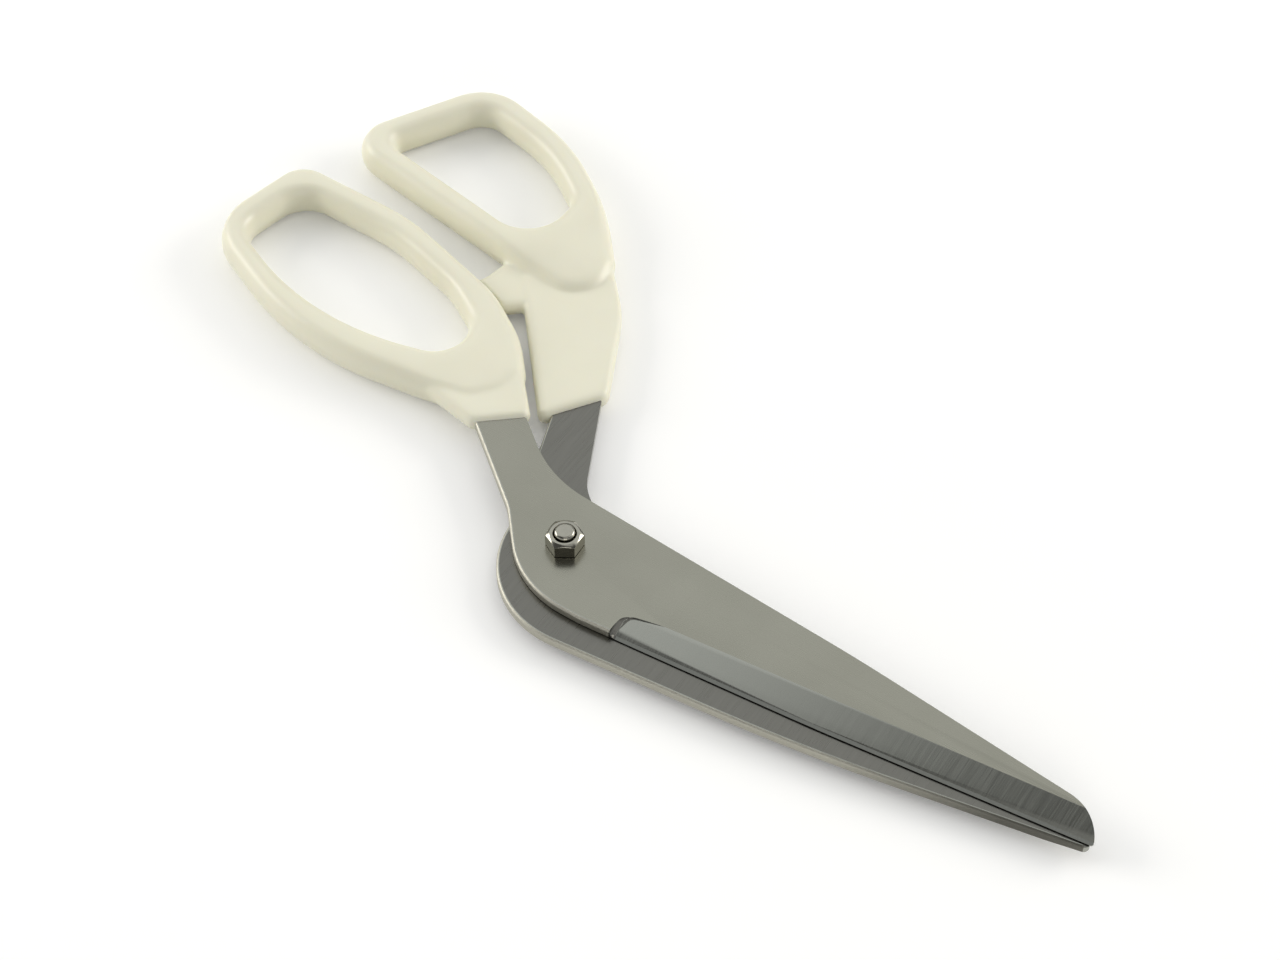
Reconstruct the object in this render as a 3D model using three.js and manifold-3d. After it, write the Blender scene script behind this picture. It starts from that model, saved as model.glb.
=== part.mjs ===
// Pizza scissors: two steel blades on one bolt, each with a moulded handle on its tang.
// Millimetres, +Z up. The origin lies on the pivot axis, in the plane on which the scissors lie.
// The closed blades point along +X, the handles are cranked towards +Y and the nut faces up.

import * as THREE from 'three';
import { mergeVertices } from 'three/addons/utils/BufferGeometryUtils.js';
import Module from 'manifold-3d';

const wasm = await Module();
wasm.setup();

// Clearances, and how far a cutter runs past what it cuts
const fitGap = 0.3;
const runningGap = 0.3;
const boreGap = 0.1;
const overrun = 12;

// Levels: the handles and the bolt head both reach down to z = 0
const handleThickness = 12.1;
const plateThickness = 2.8;
const middleZ = handleThickness / 2;
const rearPlateZ = middleZ - runningGap / 2 - plateThickness;
const frontPlateZ = middleZ + runningGap / 2;
const plateTopZ = frontPlateZ + plateThickness;

// Pivot: an M6 bolt with a low round head and a square neck, a bowed washer and a hexagon nut
const boltDiameter = 6;
const boltEndHeight = 1.1;
const boltEndRounding = 0.9;
const headDiameter = 14;
const headRounding = 1.2;
const washerDiameter = 13;
const washerThickness = 0.4;
const washerBow = 0.3;
const washerGap = 0.1;
const nutWidth = 10;
const nutHeight = 5;
const nutSides = 6;
const nutChamferAngle = 30;
const nutTurnAngle = 34;
const neckWidth = boltDiameter;
const headHeight = rearPlateZ - washerThickness - washerBow - 2 * washerGap;

// Blades: reach is from the pivot axis to the blunt end, rises and drops are from the X axis
const bladeReach = 175.3;
const frontSpineRise = 18;
const frontSpineMidRise = 12.8;
const frontSpineTipRise = 6.2;
const frontEndLean = 4.2;
const frontEndRadius = 17.5;
const frontEdgeDrop = 19.4;
const frontEdgeMidDrop = 12.7;
const frontEdgeTipDrop = 2.9;
const frontHeelRadius = 33;
const frontHeelStart = 3.2;
const frontHeelEnd = 18;
const frontNeckX = 22;
const frontNeckRise = 2;
const neckRadius = 20;
const rearSpineDrop = 31.5;
const rearSpineMidDrop = 20.1;
const rearSpineTipDrop = 4;
const rearHeelBack = 13.2;
const rearHeelRadius = 31;
const rearNeckX = 20;
const rearNeckRise = 3;
const rearEdgeRise = 17.3;
const rearEdgeTipRise = 1.5;
const rearEndBack = 0.8;
const spineTangRadius = 40;
const shoulderRadius = 18;
const midShare = 0.52;
const midRadius = 700;
const tipCornerRadius = 1.6;

// Grinding: a wide bevel on the outer face of each blade and a narrow one along its edge
const bevelWidth = 8.8;
const bevelEdgeThickness = 1.1;
const bevelStart = 28;
const bevelStartRadius = 8;
const edgeBandWidth = 1.3;
const edgeThickness = 0.15;

// The slit between the two stems runs at this angle, beside the pivot axis
const slitAngle = 131;
const slitOffset = 3.9;
const slitWidth = 2.1;

// Stems: reaches are along the slit from the pivot axis
const stemWall = 1.5;
const stemRim = 1.6;
const stemCorner = 2;
const stemDraft = 0.8;
const fingerNoseReach = 48.5;
const fingerNoseWidth = 18.4;
const fingerStemLength = 13;
const fingerCrestLength = 38.5;
const fingerCrestInset = 6;
const thumbNoseReach = 50.1;
const thumbNoseWidth = 21.8;
const thumbNoseSlant = 5.8;
const thumbStemLength = 49;
const thumbStemBulge = 8.3;
const stemThickness = plateThickness + 2 * (fitGap + stemWall);
const tangSideWall = 1.5;
const thumbSideWall = 3.9;

// Tang stubs inside the handles, with holes that the moulded pegs fill
const stubInset = 1.5;
const frontStubLength = 21;
const rearStubLength = 32;
const pegHoleDiameter = 5;
const pegPlaceShares = [0.3, 0.74];

// Loops: bars of oval section round a finger hole and a thumb hole. Webs reach from the shoulder of
// a stem back to the front of its hole, rises go up to the top or the low side of the hole.
const barWidth = 9.9;
const bellyInset = 1.2;
const fingerHoleLength = 84.9;
const fingerHoleHeight = 41.6;
const fingerWebLength = 25.9;
const fingerHoleRise = 26;
const thumbHoleLength = 63.7;
const thumbHoleHeight = 39.6;
const thumbWebLength = 9.2;
const thumbHoleRise = 18.9;
const rimShare = 0.47;

// Stop nub between the stem of the thumb handle and the finger handle
const nubLead = 3.5;
const nubWidth = 13;
const nubThickness = 5.4;
const nubRounding = 0.8;
const nubCorner = 1.6;

// Corners of the holes as shares of length (from the front) and height (from the side named), and
// corner radii as shares of the height
const fingerHoleShares = [
  [1.0, 0.578, 0.2],
  [0.52, 1.0, 2.2],
  [0.0, 0.72, 0.24],
  [0.024, 0.388, 0.24],
  [0.206, 0.174, 0.86],
  [0.53, 0.0, 1.5],
  [0.942, 0.0, 0.24],
];
const thumbHoleShares = [
  [1.0, 0.247, 0.08],
  [0.0, 0.0, 0.26],
  [0.0, 0.523, 0.15],
  [0.289, 0.846, 1.5],
  [0.738, 1.0, 0.2],
];

// Fineness of arcs
const arcStepAngle = 14;
const arcChord = 7;
const roundSteps = 32;
const rimSteps = 4;
const weldDistance = 1e-4;

const ivoryPlastic = { color: 0xede6d2, roughness: 0.42, metalness: 0 };
const satinSteel = { color: 0x97968c, roughness: 0.34, metalness: 1 };
const brightSteel = { color: 0xc9c7bd, roughness: 0.14, metalness: 1 };

const radians = THREE.MathUtils.degToRad;

// Solids

function toSolid(geometry) {
  const bare = geometry.clone();
  bare.deleteAttribute('normal');
  bare.deleteAttribute('uv');
  const merged = mergeVertices(bare, weldDistance);
  return new wasm.Manifold(new wasm.Mesh({
    numProp: 3,
    vertProperties: merged.attributes.position.array,
    triVerts: new Uint32Array(merged.index.array),
  }));
}

function toMesh(name, solid, finish) {
  const { vertProperties, triVerts } = solid.getMesh();
  const geometry = new THREE.BufferGeometry();
  geometry.setAttribute('position', new THREE.BufferAttribute(new Float32Array(vertProperties), 3));
  geometry.setIndex(new THREE.BufferAttribute(new Uint32Array(triVerts), 1));
  geometry.computeVertexNormals();
  const mesh = new THREE.Mesh(geometry, new THREE.MeshStandardMaterial(finish));
  mesh.name = name;
  return mesh;
}

// Outlines are lists of points; corners are [x, y, radius], counterclockwise.

// Rounds each corner, and shortens a rounding where two would meet on one side.
function roundCorners(corners) {
  const count = corners.length;
  const at = corners.map(([x, y]) => new THREE.Vector2(x, y));
  const side = at.map((point, i) => at[(i + 1) % count].clone().sub(point));
  const turn = side.map((leaving, i) => {
    const coming = side[(i + count - 1) % count];
    return Math.atan2(coming.cross(leaving), coming.dot(leaving));
  });
  const wanted = corners.map(([, , radius], i) => radius * Math.tan(Math.abs(turn[i]) / 2));
  const fit = side.map((s, i) => Math.min(1, s.length() / (wanted[i] + wanted[(i + 1) % count] || 1)));
  const points = [];
  for (let i = 0; i < count; i += 1) {
    const coming = side[(i + count - 1) % count].clone().normalize();
    const leaving = side[i].clone().normalize();
    const reach = wanted[i] * Math.min(fit[i], fit[(i + count - 1) % count]);
    if (!reach) {
      points.push(at[i].clone());
      continue;
    }
    const radius = reach / Math.tan(Math.abs(turn[i]) / 2);
    const start = at[i].clone().addScaledVector(coming, -reach);
    const steps = Math.max(
      Math.ceil(Math.abs(turn[i]) / radians(arcStepAngle)),
      Math.ceil((radius * Math.abs(turn[i])) / arcChord),
    );
    const sign = Math.sign(turn[i]);
    const centre = start.clone().add(new THREE.Vector2(-coming.y, coming.x).multiplyScalar(sign * radius));
    for (let k = 0; k <= steps; k += 1) {
      points.push(start.clone().rotateAround(centre, (turn[i] * k) / steps));
    }
  }
  return points.filter((point, i) => point.distanceTo(points.at(i - 1)) > weldDistance * 100);
}

// Moves every side of an outline outwards by a distance.
function growCorners(corners, distance) {
  const count = corners.length;
  return corners.map(([x, y, radius], i) => {
    const before = corners[(i + count - 1) % count];
    const after = corners[(i + 1) % count];
    const coming = new THREE.Vector2(x - before[0], y - before[1]).normalize();
    const leaving = new THREE.Vector2(after[0] - x, after[1] - y).normalize();
    const turn = Math.atan2(coming.cross(leaving), coming.dot(leaving));
    const along = distance * Math.tan(turn / 2);
    return [
      x + coming.y * distance + coming.x * along,
      y - coming.x * distance + coming.y * along,
      Math.max(radius + Math.sign(turn) * distance, 0),
    ];
  });
}

function shapeOf(points, holes) {
  const shape = new THREE.Shape(points);
  shape.holes = holes.map((hole) => new THREE.Path(hole));
  return shape;
}

function slab(points, bottom, thickness, holes = []) {
  const geometry = new THREE.ExtrudeGeometry(shapeOf(points, holes), {
    depth: thickness,
    bevelEnabled: false,
  });
  geometry.translate(0, 0, bottom);
  return toSolid(geometry);
}

// A slab whose rims are rounded inwards from its outline.
function softSlab(points, bottom, thickness, rimWidth, rimHeight, holes = []) {
  const geometry = new THREE.ExtrudeGeometry(shapeOf(points, holes), {
    depth: thickness - 2 * rimHeight,
    bevelThickness: rimHeight,
    bevelSize: rimWidth,
    bevelOffset: -rimWidth,
    bevelSegments: rimSteps,
  });
  geometry.translate(0, 0, bottom + rimHeight);
  return toSolid(geometry);
}

function circle(x, y, diameter, steps = roundSteps) {
  const points = [];
  const radius = diameter / 2;
  for (let k = 0; k < steps; k += 1) {
    const angle = (2 * Math.PI * k) / steps;
    points.push(new THREE.Vector2(x + radius * Math.cos(angle), y + radius * Math.sin(angle)));
  }
  return points;
}

function square(width) {
  const half = width / 2;
  return roundCorners([[half, half, 0], [-half, half, 0], [-half, -half, 0], [half, -half, 0]]);
}

// Everything above a plane that goes through an edge line at one height and rises away from it,
// to the left of the line's direction.
function aboveSlope(from, to, height, slope) {
  const length = from.distanceTo(to) + 2 * overrun;
  const box = new THREE.BoxGeometry(length, length, length);
  box.translate(0, 0, length / 2);
  box.rotateX(slope);
  box.rotateZ(Math.atan2(to.y - from.y, to.x - from.x));
  box.translate((from.x + to.x) / 2, (from.y + to.y) / 2, height);
  return toSolid(box);
}

// Places on the stems: along the slit from the pivot axis, and across it, away from the X axis

function stemPlace(along, across, radius = 0) {
  const angle = radians(slitAngle);
  const x = along * Math.cos(angle) + across * Math.sin(angle);
  const y = along * Math.sin(angle) - across * Math.cos(angle);
  return [x, y, radius];
}

const fingerWall = -slitOffset - slitWidth / 2;
const thumbWall = -slitOffset + slitWidth / 2;
const thumbFarWall = thumbWall + thumbNoseWidth;

const fingerShoulder = fingerNoseReach + fingerStemLength;
const thumbShoulder = thumbNoseReach + thumbStemLength;
const fingerLowWall = fingerWall - fingerNoseWidth;

// Corners of a hole from shares of its length and height, beside the shoulder of its stem
function holeCorners(shares, [shoulderX, shoulderY], web, rise, length, height) {
  return shares.map(([along, across, radius]) => [
    shoulderX - web - along * length,
    shoulderY + rise + across * height,
    radius * Math.abs(height),
  ]);
}

const fingerHole = holeCorners(
  fingerHoleShares, stemPlace(fingerShoulder, fingerWall), fingerWebLength, fingerHoleRise,
  fingerHoleLength, -fingerHoleHeight,
);
const thumbHole = holeCorners(
  thumbHoleShares, stemPlace(thumbShoulder, thumbWall), thumbWebLength, thumbHoleRise,
  thumbHoleLength, thumbHoleHeight,
);

// Blades

const frontTangRight = fingerWall - tangSideWall;
const frontTangLeft = fingerWall - fingerNoseWidth + tangSideWall;
const rearTangRight = thumbFarWall - 1.5 * tangSideWall;
const rearTangLeft = thumbWall + thumbSideWall;

// The stub that a handle covers: four corners from the nose inwards and back
function stubCorners(right, left, rightReach, leftReach, length) {
  const inset = Math.sign(right - left) * stubInset;
  return [
    stemPlace(rightReach, right),
    stemPlace(rightReach + stubInset, right - inset, stubInset),
    stemPlace(rightReach + length, right - inset, stubInset),
    stemPlace(leftReach + length, left + inset, stubInset),
    stemPlace(leftReach + stubInset, left + inset, stubInset),
    stemPlace(leftReach, left),
  ];
}

function thumbNoseAt(across) {
  return thumbNoseReach + ((across - thumbWall) / thumbNoseWidth) * thumbNoseSlant;
}

const frontStub = stubCorners(
  frontTangRight, frontTangLeft, fingerNoseReach, fingerNoseReach, frontStubLength,
);
const rearStub = stubCorners(
  rearTangRight, rearTangLeft, thumbNoseAt(rearTangRight), thumbNoseAt(rearTangLeft), rearStubLength,
);

const frontCorners = [
  [bladeReach, -frontEdgeTipDrop, tipCornerRadius / 2],
  [bladeReach - frontEndLean, frontSpineTipRise, frontEndRadius],
  [bladeReach * midShare, frontSpineMidRise, midRadius],
  [-frontSpineRise, frontSpineRise, spineTangRadius],
  ...frontStub,
  [-frontNeckX, frontNeckRise, neckRadius],
  [-frontHeelStart, -frontEdgeDrop, frontHeelRadius],
  [frontHeelEnd, -frontEdgeDrop, frontHeelRadius],
  [bladeReach * midShare, -frontEdgeMidDrop, midRadius],
];

const rearCorners = [
  [bladeReach - rearEndBack, -rearSpineTipDrop, tipCornerRadius],
  [bladeReach - rearEndBack - tipCornerRadius, rearEdgeTipRise, tipCornerRadius / 2],
  [-rearEdgeRise / 3, rearEdgeRise, shoulderRadius],
  ...rearStub,
  [-rearNeckX, rearNeckRise, neckRadius],
  [-rearHeelBack, -rearSpineDrop, rearHeelRadius],
  [bladeReach * midShare, -rearSpineMidDrop, midRadius],
];

// Pegs stand on the centre line of the stub.
function pegPlaces(stub) {
  const [, nearRight, farRight, farLeft, nearLeft] = stub.map(([x, y]) => new THREE.Vector2(x, y));
  const near = nearRight.clone().lerp(nearLeft, 0.5);
  const far = farRight.clone().lerp(farLeft, 0.5);
  return pegPlaceShares.map((share) => near.clone().lerp(far, share));
}

function bladePlate(corners, stub, bottom, hole) {
  const pegHoles = pegPlaces(stub).map(({ x, y }) => circle(x, y, pegHoleDiameter));
  return slab(roundCorners(corners), bottom, plateThickness, [hole, ...pegHoles]);
}

// Cuts the wide bevel and the edge band into a plate that lies below z = 0, along an edge given from
// its heel over its middle to its end. The bevel lies to the left of that line.
function bevelCutter(heel, middle, end) {
  const runs = [[heel, middle], [middle, end]];
  const along = end.clone().sub(heel).normalize();
  const inward = new THREE.Vector2(-along.y, along.x);
  const startFoot = heel.clone().addScaledVector(inward, -overrun);
  const startTop = heel.clone().addScaledVector(inward, overrun);
  const endTop = end.clone().addScaledVector(inward, overrun).addScaledVector(along, overrun);
  const endFoot = end.clone().addScaledVector(inward, -overrun).addScaledVector(along, overrun);
  const zone = [
    [startFoot.x, startFoot.y, 0],
    [endFoot.x, endFoot.y, 0],
    [endTop.x, endTop.y, 0],
    [startTop.x, startTop.y, bevelStartRadius],
  ];
  const wideSlope = Math.atan((plateThickness - bevelEdgeThickness) / bevelWidth);
  const bandSlope = Math.atan((bevelEdgeThickness - edgeThickness) / edgeBandWidth);
  const wide = aboveSlope(heel, end, bevelEdgeThickness - plateThickness, wideSlope);
  const bands = runs.map(([from, to]) => aboveSlope(from, to, edgeThickness - plateThickness, bandSlope));
  const body = slab(roundCorners(zone), -plateThickness, plateThickness + overrun);
  return wide.add(bands[0]).add(bands[1]).intersect(body);
}

function frontBlade() {
  const plate = bladePlate(frontCorners, frontStub, frontPlateZ, circle(0, 0, boltDiameter + 2 * boreGap));
  const middle = new THREE.Vector2(bladeReach * midShare, -frontEdgeMidDrop);
  const end = new THREE.Vector2(bladeReach, -frontEdgeTipDrop);
  const bolster = new THREE.Vector2(frontHeelEnd, -frontEdgeDrop);
  const heel = bolster.lerp(middle, (bevelStart - frontHeelEnd) / (middle.x - frontHeelEnd));
  return plate.subtract(bevelCutter(heel, middle, end).translate([0, 0, plateTopZ]));
}

// The rear blade is ground on its underside, so its cutter is turned over about the X axis.
function rearBlade() {
  const plate = bladePlate(rearCorners, rearStub, rearPlateZ, square(neckWidth + 2 * fitGap));
  const end = new THREE.Vector2(bladeReach - rearEndBack, -rearEdgeTipRise);
  const shoulder = new THREE.Vector2(-rearEdgeRise / 3, -rearEdgeRise);
  const share = (bevelStart - shoulder.x) / (end.x - shoulder.x);
  const heel = shoulder.clone().lerp(end, share);
  const middle = heel.clone().lerp(end, 0.5);
  return plate.subtract(bevelCutter(heel, middle, end).rotate([180, 0, 0]).translate([0, 0, rearPlateZ]));
}

// Handles

// Place where the outer side of a bar meets a wall of its stem
function meetWall(from, to, across) {
  const angle = radians(slitAngle);
  const acrossOf = ([x, y]) => x * Math.sin(angle) - y * Math.cos(angle);
  const share = (across - acrossOf(from)) / (acrossOf(to) - acrossOf(from));
  return [from[0] + share * (to[0] - from[0]), from[1] + share * (to[1] - from[1])];
}

const fingerStem = [
  stemPlace(fingerNoseReach, fingerLowWall, stemCorner),
  stemPlace(fingerNoseReach, fingerWall, stemCorner),
  stemPlace(fingerShoulder + barWidth, fingerWall - stemDraft, stemCorner),
  stemPlace(fingerShoulder + barWidth, fingerLowWall, stemCorner),
  stemPlace(fingerShoulder - stemDraft, fingerLowWall - barWidth, barWidth),
];

// The bars of the loop run on into the shoulder that stands over the stem, and the one along the
// belly is thinner than the others.
function fingerBody() {
  const [back, belly, , , , top, heel] = growCorners(fingerHole, barWidth);
  const thinned = ([x, y, radius]) => [x, y + bellyInset, radius];
  return [
    thinned(back),
    thinned(belly),
    stemPlace(fingerShoulder, fingerLowWall - barWidth, 2 * barWidth),
    stemPlace(fingerShoulder, fingerWall - barWidth, barWidth),
    stemPlace(fingerShoulder + barWidth / 3, fingerWall, barWidth / 2),
    stemPlace(fingerShoulder + 2 * barWidth, fingerWall, 4 * barWidth),
    stemPlace(fingerShoulder + fingerCrestLength, fingerWall - fingerCrestInset, 4 * barWidth),
    top,
    [...heel.slice(0, 2), barWidth],
  ];
}

const thumbStem = [
  stemPlace(thumbNoseReach, thumbWall, stemCorner),
  stemPlace(thumbNoseReach + thumbNoseSlant, thumbFarWall, 2 * stemCorner),
  stemPlace(thumbShoulder - barWidth, thumbFarWall + thumbStemBulge, thumbStemLength),
  stemPlace(thumbShoulder + barWidth, thumbFarWall + thumbStemBulge - stemDraft, stemCorner),
  stemPlace(thumbShoulder + barWidth, thumbWall, stemCorner),
];

function thumbBody() {
  const [back, low, front, crown, top] = growCorners(thumbHole, barWidth);
  return [
    [...back.slice(0, 2), 1.1 * barWidth],
    [...meetWall(back, low, thumbWall), barWidth],
    stemPlace(thumbShoulder, thumbWall + 1.5 * barWidth, barWidth),
    stemPlace(thumbShoulder, thumbFarWall + barWidth / 3, barWidth),
    stemPlace(thumbShoulder + barWidth, thumbFarWall + thumbStemBulge, barWidth / 2),
    [...meetWall(front, crown, thumbFarWall + thumbStemBulge), 9 * barWidth],
    crown,
    top,
  ];
}

function loopBody(body, hole) {
  const rimWidth = rimShare * (barWidth - bellyInset);
  const rimHeight = rimShare * handleThickness;
  return softSlab(roundCorners(body), 0, handleThickness, rimWidth, rimHeight, [roundCorners(hole)]);
}

function stemBody(stem, plateBottom) {
  const bottom = plateBottom + plateThickness / 2 - stemThickness / 2;
  return softSlab(roundCorners(stem), bottom, stemThickness, stemRim, stemRim);
}

// The space for a tang: its plate grown by the fit, with the pegs left standing
function tangPocket(corners, stub, plateBottom) {
  const pegs = pegPlaces(stub).map(({ x, y }) => circle(x, y, pegHoleDiameter - 2 * fitGap));
  const grown = roundCorners(growCorners(corners, fitGap));
  return slab(grown, plateBottom - fitGap, plateThickness + 2 * fitGap, pegs);
}

function fingerHandle() {
  const outside = loopBody(fingerBody(), fingerHole).add(stemBody(fingerStem, frontPlateZ));
  return outside.subtract(tangPocket(frontCorners, frontStub, frontPlateZ));
}

// The nub starts ahead of the shoulder, reaches over to the finger handle and is cut back by the fit.
function stopNub() {
  const nearAlong = thumbShoulder - nubLead;
  const farAlong = nearAlong + nubWidth;
  const corners = [
    stemPlace(nearAlong, fingerWall - barWidth, nubCorner),
    stemPlace(nearAlong, thumbWall + barWidth / 2, nubCorner),
    stemPlace(farAlong, thumbWall + barWidth / 2, nubCorner),
    stemPlace(farAlong, fingerWall - 2 * barWidth, nubCorner),
  ];
  const bottom = rearPlateZ + plateThickness / 2 - nubThickness / 2;
  const block = softSlab(roundCorners(corners), bottom, nubThickness, nubRounding, nubRounding);
  const clear = roundCorners(growCorners(fingerBody(), fitGap));
  return block.subtract(slab(clear, -overrun, handleThickness + 2 * overrun));
}

function thumbHandle() {
  const outside = loopBody(thumbBody(), thumbHole).add(stemBody(thumbStem, rearPlateZ)).add(stopNub());
  return outside.subtract(tangPocket(rearCorners, rearStub, rearPlateZ));
}

// Pivot

function lathe(profile, steps = roundSteps) {
  const geometry = new THREE.LatheGeometry(profile.map(([r, z]) => new THREE.Vector2(r, z)), steps);
  geometry.rotateX(Math.PI / 2);
  return toSolid(geometry);
}

function quarterRound(radius, height, rounding, up) {
  const points = [];
  for (let k = 0; k <= rimSteps; k += 1) {
    const angle = (Math.PI / 2) * (k / rimSteps);
    const lift = rounding * (up ? Math.sin(angle) : -Math.cos(angle));
    const inward = rounding * (1 - (up ? Math.cos(angle) : Math.sin(angle)));
    points.push([radius - inward, height + lift]);
  }
  return points;
}

const nutBottomZ = plateTopZ + runningGap;
const boltTopZ = nutBottomZ + nutHeight + boltEndHeight;

function pivotBolt() {
  const headRadius = headDiameter / 2;
  const shankRadius = boltDiameter / 2;
  const turned = lathe([
    [0, 0],
    ...quarterRound(headRadius, headRounding, headRounding, false),
    [headRadius, headHeight],
    [shankRadius, headHeight],
    ...quarterRound(shankRadius, boltTopZ - boltEndRounding, boltEndRounding, true),
    [0, boltTopZ],
  ]);
  const neckTop = rearPlateZ + plateThickness - fitGap;
  return turned.add(slab(square(neckWidth), headHeight / 2, neckTop - headHeight / 2));
}

// A ring that is bowed along one direction, so that it presses on both sides
function springWasher() {
  const bore = circle(0, 0, neckWidth * Math.SQRT2 + 2 * fitGap);
  const ring = new THREE.ExtrudeGeometry(shapeOf(circle(0, 0, washerDiameter), [bore]), {
    depth: washerThickness,
    bevelEnabled: false,
  });
  const place = ring.attributes.position;
  const seat = headHeight + washerGap;
  for (let i = 0; i < place.count; i += 1) {
    const bow = washerBow * ((2 * place.getX(i)) / washerDiameter) ** 2;
    place.setZ(i, place.getZ(i) + seat + bow);
  }
  return toSolid(ring);
}

function pivotNut() {
  const flatRadius = nutWidth / 2;
  const cornerRadius = flatRadius / Math.cos(Math.PI / nutSides);
  const drop = (cornerRadius - flatRadius) * Math.tan(radians(nutChamferAngle));
  const hexagon = slab(circle(0, 0, 2 * cornerRadius, nutSides), 0, nutHeight);
  const turned = lathe([
    [0, 0],
    [cornerRadius, 0],
    [cornerRadius, nutHeight - drop],
    [flatRadius, nutHeight],
    [0, nutHeight],
  ]);
  const bore = lathe([
    [0, -overrun],
    [boltDiameter / 2 + fitGap, -overrun],
    [boltDiameter / 2 + fitGap, nutHeight - fitGap],
    [boltDiameter / 2 + 2 * fitGap, nutHeight],
    [boltDiameter / 2 + 2 * fitGap, nutHeight + overrun],
    [0, nutHeight + overrun],
  ]);
  return hexagon.intersect(turned).subtract(bore).rotate([0, 0, nutTurnAngle]).translate([0, 0, nutBottomZ]);
}

const scissors = new THREE.Group();
scissors.add(
  toMesh('front_blade', frontBlade(), satinSteel),
  toMesh('rear_blade', rearBlade(), satinSteel),
  toMesh('finger_handle', fingerHandle(), ivoryPlastic),
  toMesh('thumb_handle', thumbHandle(), ivoryPlastic),
  toMesh('pivot_bolt', pivotBolt(), brightSteel),
  toMesh('spring_washer', springWasher(), brightSteel),
  toMesh('pivot_nut', pivotNut(), brightSteel),
);

export default scissors;
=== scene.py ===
import math

import bpy
from mathutils import Matrix, Vector
from mathutils.kdtree import KDTree


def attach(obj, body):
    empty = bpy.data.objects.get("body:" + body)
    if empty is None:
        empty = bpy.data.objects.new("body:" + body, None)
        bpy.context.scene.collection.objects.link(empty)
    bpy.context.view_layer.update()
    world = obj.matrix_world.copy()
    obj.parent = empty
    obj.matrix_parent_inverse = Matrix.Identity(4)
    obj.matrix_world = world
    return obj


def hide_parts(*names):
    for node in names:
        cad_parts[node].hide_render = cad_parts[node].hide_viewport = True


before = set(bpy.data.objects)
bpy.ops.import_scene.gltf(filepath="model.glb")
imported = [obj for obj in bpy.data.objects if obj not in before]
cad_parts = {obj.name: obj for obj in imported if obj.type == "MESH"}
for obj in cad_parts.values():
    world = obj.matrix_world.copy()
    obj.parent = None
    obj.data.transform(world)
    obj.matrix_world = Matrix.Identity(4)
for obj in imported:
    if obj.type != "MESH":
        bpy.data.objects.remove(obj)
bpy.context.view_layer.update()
print("frame loaded, nodes:", ", ".join(sorted(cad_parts)))

mm = 0.001

# how finely everything is drawn
drawing = {
    "chord": 0.8,         # mm, longest step along a rounding of a handle
    "fineChord": 0.6,     # mm, the same on the blades and round the holes for the fingers
    "arcTurn": 0.14,      # radians, widest turn from one point of a rounding to the next
    "shortest": 0.01,     # mm, points of an outline that are closer become one
    "weld": 0.002,        # mm, points of a mesh that are closer become one
    "flatAngle": 0.05,    # degrees, faces of a blade that differ by less become one
    "sharpAngle": 28,     # degrees, an edge that turns by more is broken, and looks sharp on a blade
    "rimSteps": 8,
    "discSteps": 96,
}


# Mesh tools

def pick(*pieces):
    bpy.ops.object.select_all(action="DESELECT")
    for piece in pieces:
        piece.select_set(True)
    bpy.context.view_layer.objects.active = pieces[0]


def roundedOutline(corners, chord=drawing["chord"]):
    # corners are (x, y, radius) in mm, counterclockwise; roundings that would meet are shortened
    count = len(corners)
    at = [Vector(corner[:2]) for corner in corners]
    sides = [at[(i + 1) % count] - at[i] for i in range(count)]
    turns = [math.atan2(sides[i - 1].cross(sides[i]), sides[i - 1].dot(sides[i])) for i in range(count)]
    wanted = [corners[i][2] * math.tan(abs(turns[i]) / 2) for i in range(count)]
    fits = [min(1, sides[i].length / ((wanted[i] + wanted[(i + 1) % count]) or 1)) for i in range(count)]
    points = []
    for i in range(count):
        coming = sides[i - 1].normalized()
        reach = wanted[i] * min(fits[i], fits[i - 1])
        if not reach:
            points.append(at[i])
            continue
        radius = reach / math.tan(abs(turns[i]) / 2)
        arc = abs(turns[i])
        steps = max(math.ceil(radius * arc / chord), math.ceil(arc / drawing["arcTurn"]))
        side = math.copysign(1, turns[i])
        start = at[i] - coming * reach
        centre = start + Vector((-coming.y, coming.x)) * side * radius
        for k in range(steps + 1):
            angle = turns[i] * k / steps
            points.append(centre + Matrix.Rotation(angle, 2) @ (start - centre))
    return [p for i, p in enumerate(points) if (p - points[i - 1]).length > drawing["shortest"]]


def grownCorners(corners, distance):
    # every side of an outline moves outwards
    grown = []
    for i, (x, y, radius) in enumerate(corners):
        before, after = corners[i - 1], corners[(i + 1) % len(corners)]
        coming = Vector((x - before[0], y - before[1])).normalized()
        leaving = Vector((after[0] - x, after[1] - y)).normalized()
        turn = math.atan2(coming.cross(leaving), coming.dot(leaving))
        along = distance * math.tan(turn / 2)
        grown.append((
            x + coming.y * distance + coming.x * along,
            y - coming.x * distance + coming.y * along,
            max(radius + math.copysign(distance, turn), 0),
        ))
    return grown


def ringPoints(x, y, diameter, steps=64):
    angles = [2 * math.pi * k / steps for k in range(steps)]
    return [Vector((x + diameter / 2 * math.cos(a), y + diameter / 2 * math.sin(a))) for a in angles]


def weldDoubles(piece):
    pick(piece)
    bpy.ops.object.mode_set(mode="EDIT")
    bpy.ops.mesh.select_all(action="SELECT")
    bpy.ops.mesh.remove_doubles(threshold=drawing["weld"] * mm)
    bpy.ops.mesh.normals_make_consistent(inside=False)
    bpy.ops.object.mode_set(mode="OBJECT")


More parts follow.
